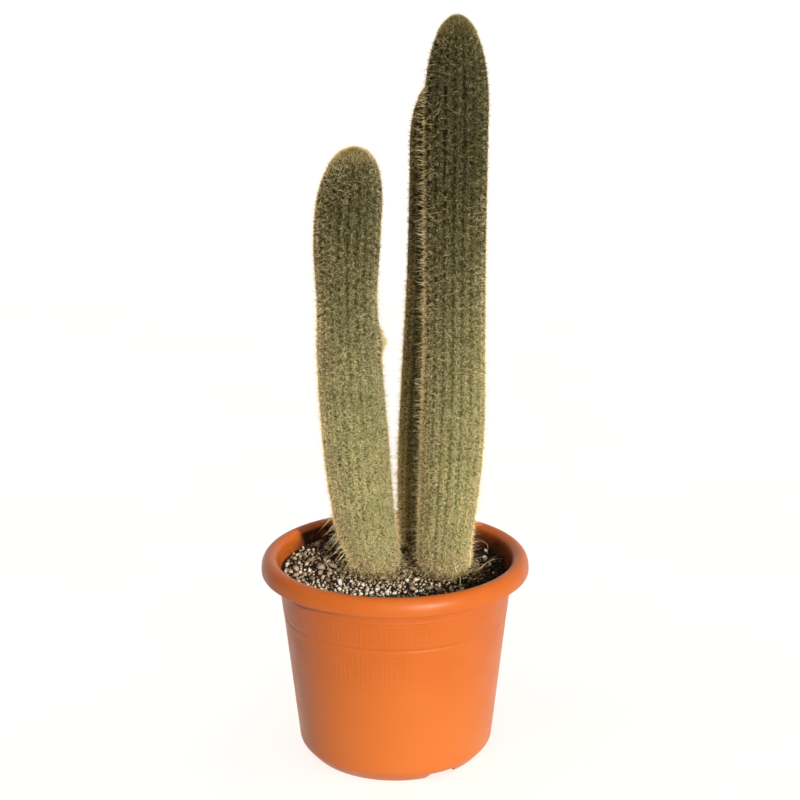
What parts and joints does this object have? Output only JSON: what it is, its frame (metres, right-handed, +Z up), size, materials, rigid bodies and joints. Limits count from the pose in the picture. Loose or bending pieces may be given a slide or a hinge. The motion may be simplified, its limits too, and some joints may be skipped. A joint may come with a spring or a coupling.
{
  "type": "potted austrocephalocereus",
  "caption": "Potted columnar cactus with ribbed, finely spined upright stems in gritty soil, in a round terracotta-coloured plastic pot with a rolled rim.",
  "frame": {"origin": "on the pot's axis, at the level of the foot ring's underside, where the pot stands", "axes": "+Z up along the pot's axis, -Y towards the front of the plant, +X to its right"},
  "size_m": [0.2, 0.2, 0.5468],
  "materials": {
    "pot_plastic": "satin moulded plastic, terracotta orange",
    "gritty_soil": "loose dark potting soil with pale mineral grains",
    "cactus_skin": "green ribbed skin under fine straw-coloured spines and hair"
  },
  "bodies": {
    "root": {"pot": "pot_plastic", "soil": "gritty_soil", "stem_tall": "cactus_skin", "stem_left": "cactus_skin", "stem_back": "cactus_skin"}
  },
  "joints": []
}
